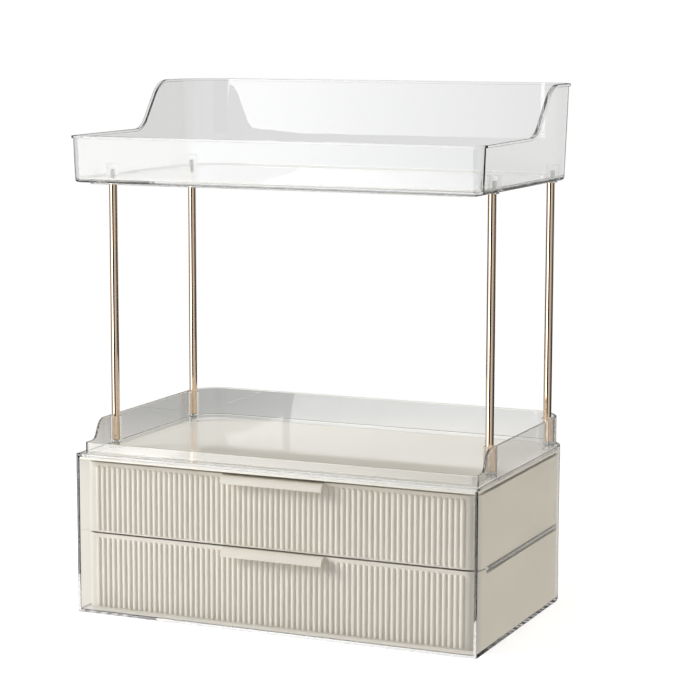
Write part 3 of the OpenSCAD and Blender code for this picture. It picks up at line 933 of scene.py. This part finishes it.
combined(upper_tray, piece_from(foot_ring_shell(), "foot ring"), "UNION")
for x, y in rod_spots:
    at_rod = Matrix.Translation(Vector((x, y, 0)) * MM)
    rounding = [(boss_r - d, boss_top - h) for d, h in quarter(boss_round, round_steps)]
    boss = piece_from(turned([(0, rod_top), (boss_r, rod_top)] + rounding + [(0, boss_top)], 64), "boss")
    boss.data.transform(at_rod)
    combined(upper_tray, boss, "UNION")
    hole_low = rod_top - cut_past
    hole = piece_from(turned([(0, hole_low), (stud_bore_r, hole_low), (stud_bore_r, stud_hole_top),
                              (0, stud_hole_top)], 48), "hole")
    hole.data.transform(at_rod)
    combined(upper_tray, hole, "DIFFERENCE")
smooth_shaded(upper_tray)
finish_piece(upper_tray, "root", "clear_plastic", clear_plastic, "upper_tray")

# The room: a plain pale floor that keeps the object's shadow and turns white away from it,
# a white surround with the softer and darker sides that clear plastic and metal mirror, and soft lamps.
floor_half = 1.6
floor_z = -0.0003
white = (1.0, 1.0, 1.0, 1.0)
paper_colour = (0.86, 0.86, 0.86, 1.0)
paper_lift = 0.52
floor_white_from = 0.3
floor_white_at = 0.75
floor_clear_from = 0.5
floor_clear_at = 0.85
# Painted cream light: near the object the floor glows cream where clear plastic looks through to it.
near_painted_cream_light = (0.875, 0.84, 0.77, 1.0)
far_through_clear = (0.69, 0.69, 0.682, 1.0)
# Painted shade: a grey patch on the floor, behind the object on its left, that only clear plastic sees.
painted_shade_grey = (0.44, 0.44, 0.435, 1.0)
painted_shade_place = (-0.62, 0.78, 0.0)
painted_shade_from = 0.12
painted_shade_to = 0.44


def floor_material():
    """Pale paper that fades to white. Gloss sees through it.

    Clear plastic shows it glowing with painted cream light near the object, a little grey further off, and
    with a grey patch of painted shade.
    """
    material = bpy.data.materials.new("pale_floor")
    material.use_nodes = True
    tree = material.node_tree
    tree.nodes.clear()
    output = tree.nodes.new("ShaderNodeOutputMaterial")
    place = tree.nodes.new("ShaderNodeTexCoord")
    reach = shader_node(tree, "ShaderNodeVectorMath", operation="LENGTH")
    tree.links.new(place.outputs["Object"], reach.inputs[0])
    whiter = ranged(tree, reach.outputs["Value"], 0.0, 1.0, floor_white_from, floor_white_at)
    paper = shader_node(tree, "ShaderNodeBsdfDiffuse", Color=paper_colour)
    lift = shader_node(tree, "ShaderNodeEmission", Color=white, Strength=paper_lift)
    light_path = tree.nodes.new("ShaderNodeLightPath")
    blank = shader_node(tree, "ShaderNodeEmission", Color=white, Strength=1.0)
    near = tree.nodes.new("ShaderNodeAddShader")
    tree.links.new(paper.outputs[0], near.inputs[0])
    tree.links.new(lift.outputs[0], near.inputs[1])
    seen = either_shader(tree, whiter, near, blank)
    far_off = ranged(tree, reach.outputs["Value"], 0.0, 1.0, floor_clear_from, floor_clear_at)
    # Painted shade: the grey patch, seen only through clear plastic.
    painted_shade_reach = shader_node(tree, "ShaderNodeVectorMath", operation="DISTANCE")
    tree.links.new(place.outputs["Object"], painted_shade_reach.inputs[0])
    painted_shade_reach.inputs[1].default_value = painted_shade_place
    off_painted_shade = ranged(tree, painted_shade_reach.outputs["Value"], 0.0, 1.0, painted_shade_from, painted_shade_to)
    paper_through = blended(tree, far_off, near_painted_cream_light, far_through_clear)
    painted_shade_through = blended(tree, off_painted_shade, painted_shade_grey, paper_through)
    through_clear = shader_node(tree, "ShaderNodeEmission", Strength=1.0, Color=painted_shade_through)
    gloss_alone = number(tree, "SUBTRACT", light_path.outputs["Is Glossy Ray"],
                         light_path.outputs["Is Transmission Ray"])
    shown = paper
    for ray, view in ((light_path.outputs["Is Camera Ray"], seen),
                      (light_path.outputs["Is Transmission Ray"], through_clear),
                      (gloss_alone, tree.nodes.new("ShaderNodeBsdfTransparent"))):
        shown = either_shader(tree, ray, shown, view)
    tree.links.new(shown.outputs[0], output.inputs["Surface"])
    return material


floor_shell = bmesh.new()
bmesh.ops.create_grid(floor_shell, x_segments=1, y_segments=1, size=floor_half)
floor = piece_from(floor_shell, "floor")
floor.data.transform(Matrix.Translation((0.0, 0.0, floor_z)))
floor.data.materials.append(floor_material())

# Brightness round the horizon as gloss sees it. Each place is a share of a turn that starts straight
# behind the object as the camera sees it, and passes its left side, the camera itself at one half,
# and its right side. High up it is an even grey, and low down on the right it is darker.
mirrored_sides = [(0.0, 0.1), (0.22, 0.1), (0.25, 1.3), (0.335, 1.3), (0.345, 7.0), (0.362, 7.0),
                  (0.372, 4.6), (0.382, 2.2), (0.391, 0.3), (0.405, 0.02), (0.505, 0.02), (0.53, 0.8),
                  (0.58, 0.75), (0.67, 0.4), (0.71, 0.08), (0.85, 0.08), (0.866, 1.2), (0.9, 1.2),
                  (0.93, 0.1)]
mirrored_most = 7.0
camera_turn = 0.184
sky_level = 1.75
sky_from = 0.45
sky_to = 0.7
low_right_from = 0.78
low_right_loss = 0.9
low_right_foot = -0.14
low_right_top = -0.08
# The surround lights the object at its own level. Clear plastic shows it brighter, but darker high up.
surround_level = 0.15
behind_level = 0.74
behind_high_level = 0.3
behind_from = 0.5
behind_to = 0.75

world = bpy.data.worlds.new("surround")
bpy.context.scene.world = world
world.use_nodes = True
tree = world.node_tree
tree.nodes.clear()
output = tree.nodes.new("ShaderNodeOutputWorld")
direction = tree.nodes.new("ShaderNodeTexCoord")
split = shader_node(tree, "ShaderNodeSeparateXYZ")
tree.links.new(direction.outputs["Generated"], split.inputs[0])
round_angle = number(tree, "ARCTAN2", split.outputs["Y"], split.outputs["X"])
round_share = number(tree, "DIVIDE", number(tree, "ADD", round_angle, math.pi), 2 * math.pi)
round_share = number(tree, "FRACT", number(tree, "ADD", round_share, camera_turn))
sides = tree.nodes.new("ShaderNodeValToRGB")
stops = sides.color_ramp.elements
for share, level in mirrored_sides:
    stop = stops[0] if share == 0.0 else stops.new(share)
    stop.color = (level / mirrored_most, level / mirrored_most, level / mirrored_most, 1.0)
stops.remove(stops[-1])
tree.links.new(round_share, sides.inputs["Fac"])
up = ranged(tree, split.outputs["Z"], 0.0, 1.0, sky_from, sky_to)
low_right = number(tree, "MULTIPLY", number(tree, "GREATER_THAN", round_share, low_right_from),
                   ranged(tree, split.outputs["Z"], low_right_loss, 0.0, low_right_foot, low_right_top))
seen_sides = shader_node(tree, "ShaderNodeVectorMath", operation="SCALE",
                         Scale=number(tree, "SUBTRACT", 1.0, low_right))
tree.links.new(sides.outputs["Color"], seen_sides.inputs[0])
sky_share = sky_level / mirrored_most
round_about = blended(tree, up, seen_sides.outputs[0], (sky_share, sky_share, sky_share, 1.0))
mirrored = shader_node(tree, "ShaderNodeBackground", Color=round_about, Strength=mirrored_most)
light_path = tree.nodes.new("ShaderNodeLightPath")
through_level = ranged(tree, split.outputs["Z"], behind_level, behind_high_level, behind_from, behind_to)
behind_clear = shader_node(tree, "ShaderNodeBackground", Color=white, Strength=through_level)
lighting = shader_node(tree, "ShaderNodeBackground", Color=white, Strength=surround_level)
blank = shader_node(tree, "ShaderNodeBackground", Color=white, Strength=1.0)
shown = lighting
for ray, backdrop in (("Is Glossy Ray", mirrored), ("Is Transmission Ray", behind_clear),
                      ("Is Camera Ray", blank)):
    shown = either_shader(tree, light_path.outputs[ray], shown, backdrop)
tree.links.new(shown.outputs[0], output.inputs["Surface"])


def soft_lamp(name, place, aim, size, power, colour):
    """A square soft box that lights the object. Gloss and glass see the surround in its place."""
    lamp = bpy.data.lights.new(name, "AREA")
    lamp.shape = "SQUARE"
    lamp.size = size
    lamp.energy = power
    lamp.color = colour
    holder = bpy.data.objects.new(name, lamp)
    holder.location = place
    holder.rotation_euler = (Vector(aim) - Vector(place)).to_track_quat("-Z", "Y").to_euler()
    holder.visible_camera = False
    holder.visible_transmission = False
    holder.visible_glossy = False
    bpy.context.scene.collection.objects.link(holder)
    return holder


soft_lamp("key lamp", (-1.7, -0.9, 0.9), (0.0, 0.0, 0.12), 0.9, 40.0, (1.0, 1.0, 1.0))
soft_lamp("side lamp", (1.6, 0.8, 0.5), (0.0, 0.0, 0.12), 0.9, 19.0, (1.0, 0.93, 0.85))
soft_lamp("top lamp", (0.2, 0.1, 1.7), (0.0, 0.0, 0.1), 1.0, 8.0, (1.0, 1.0, 1.0))

# The camera stands to the right of the front and a little above it, as the photograph's did.
# Its place, turn and lens were solved against the object's corners in the photograph.
photo_lens = 118.28
camera_place = (0.6825, -1.5266, 0.4334)
camera_yaw = math.radians(23.773)
camera_pitch = math.radians(8.032)
camera_roll = math.radians(0.128)
lens = bpy.data.cameras.new("camera")
lens.lens = photo_lens
lens.sensor_width = 36.0
camera = bpy.data.objects.new("camera", lens)
camera.matrix_world = (Matrix.Translation(camera_place) @ Matrix.Rotation(camera_yaw, 4, "Z")
                       @ Matrix.Rotation(math.pi / 2 - camera_pitch, 4, "X")
                       @ Matrix.Rotation(camera_roll, 4, "Z"))
bpy.context.scene.collection.objects.link(camera)
scene = bpy.context.scene
scene.camera = camera
scene.view_settings.view_transform = "Standard"
scene.cycles.max_bounces = 48
scene.cycles.diffuse_bounces = 4
scene.cycles.glossy_bounces = 32
scene.cycles.transmission_bounces = 32
scene.cycles.transparent_max_bounces = 32
scene.cycles.sample_clamp_indirect = 12.0
scene.cycles.use_denoising = True
